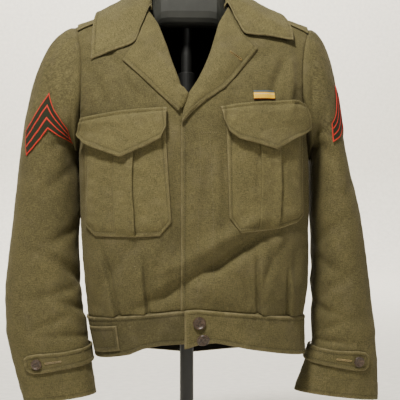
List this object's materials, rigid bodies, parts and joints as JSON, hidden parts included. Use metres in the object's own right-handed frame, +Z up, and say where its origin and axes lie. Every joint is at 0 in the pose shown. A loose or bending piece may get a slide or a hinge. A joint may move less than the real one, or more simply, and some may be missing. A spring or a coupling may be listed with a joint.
{
  "type": "military service jacket on a dress form stand",
  "caption": "Waist-length olive wool service jacket with open collar, flapped chest pockets, waistband and buttoned cuff straps, on a limbless neck form with pole and round base.",
  "frame": {"origin": "on the underside of the round base, where it stands, under the middle of the jacket", "axes": "+Z up, the jacket's front looks towards -Y, the wearer's right is at -X"},
  "size_m": [0.6217, 0.3126, 0.872],
  "materials": {
    "olive_wool": "napped olive drab wool serge",
    "chevron_felt": "felt with embroidered edges",
    "ribbon": "ribbed silk ribbon",
    "button_plastic": "worn brown moulded plastic",
    "stand_plastic": "black moulded plastic and painted pole"
  },
  "bodies": {
    "root": {"back": "olive_wool", "front_right": "olive_wool", "front_left": "olive_wool", "lapel_right": "olive_wool", "lapel_left": "olive_wool", "collar": "olive_wool", "sleeve_right": "olive_wool", "sleeve_left": "olive_wool", "epaulet_right": "olive_wool", "epaulet_left": "olive_wool", "pocket_right": "olive_wool", "pocket_left": "olive_wool", "flap_right": "olive_wool", "flap_left": "olive_wool", "waistband_back": "olive_wool", "waistband_right": "olive_wool", "waistband_left": "olive_wool", "waist_tab_right": "olive_wool", "waist_tab_left": "olive_wool", "cuff_tab_right": "olive_wool", "cuff_tab_left": "olive_wool", "chevron_right": "chevron_felt", "chevron_left": "chevron_felt", "ribbon_bar": "ribbon", "waist_button_upper": "button_plastic", "waist_button_lower": "button_plastic", "cuff_button_right": "button_plastic", "cuff_button_left": "button_plastic", "form": "stand_plastic", "stand": "stand_plastic"}
  },
  "joints": []
}
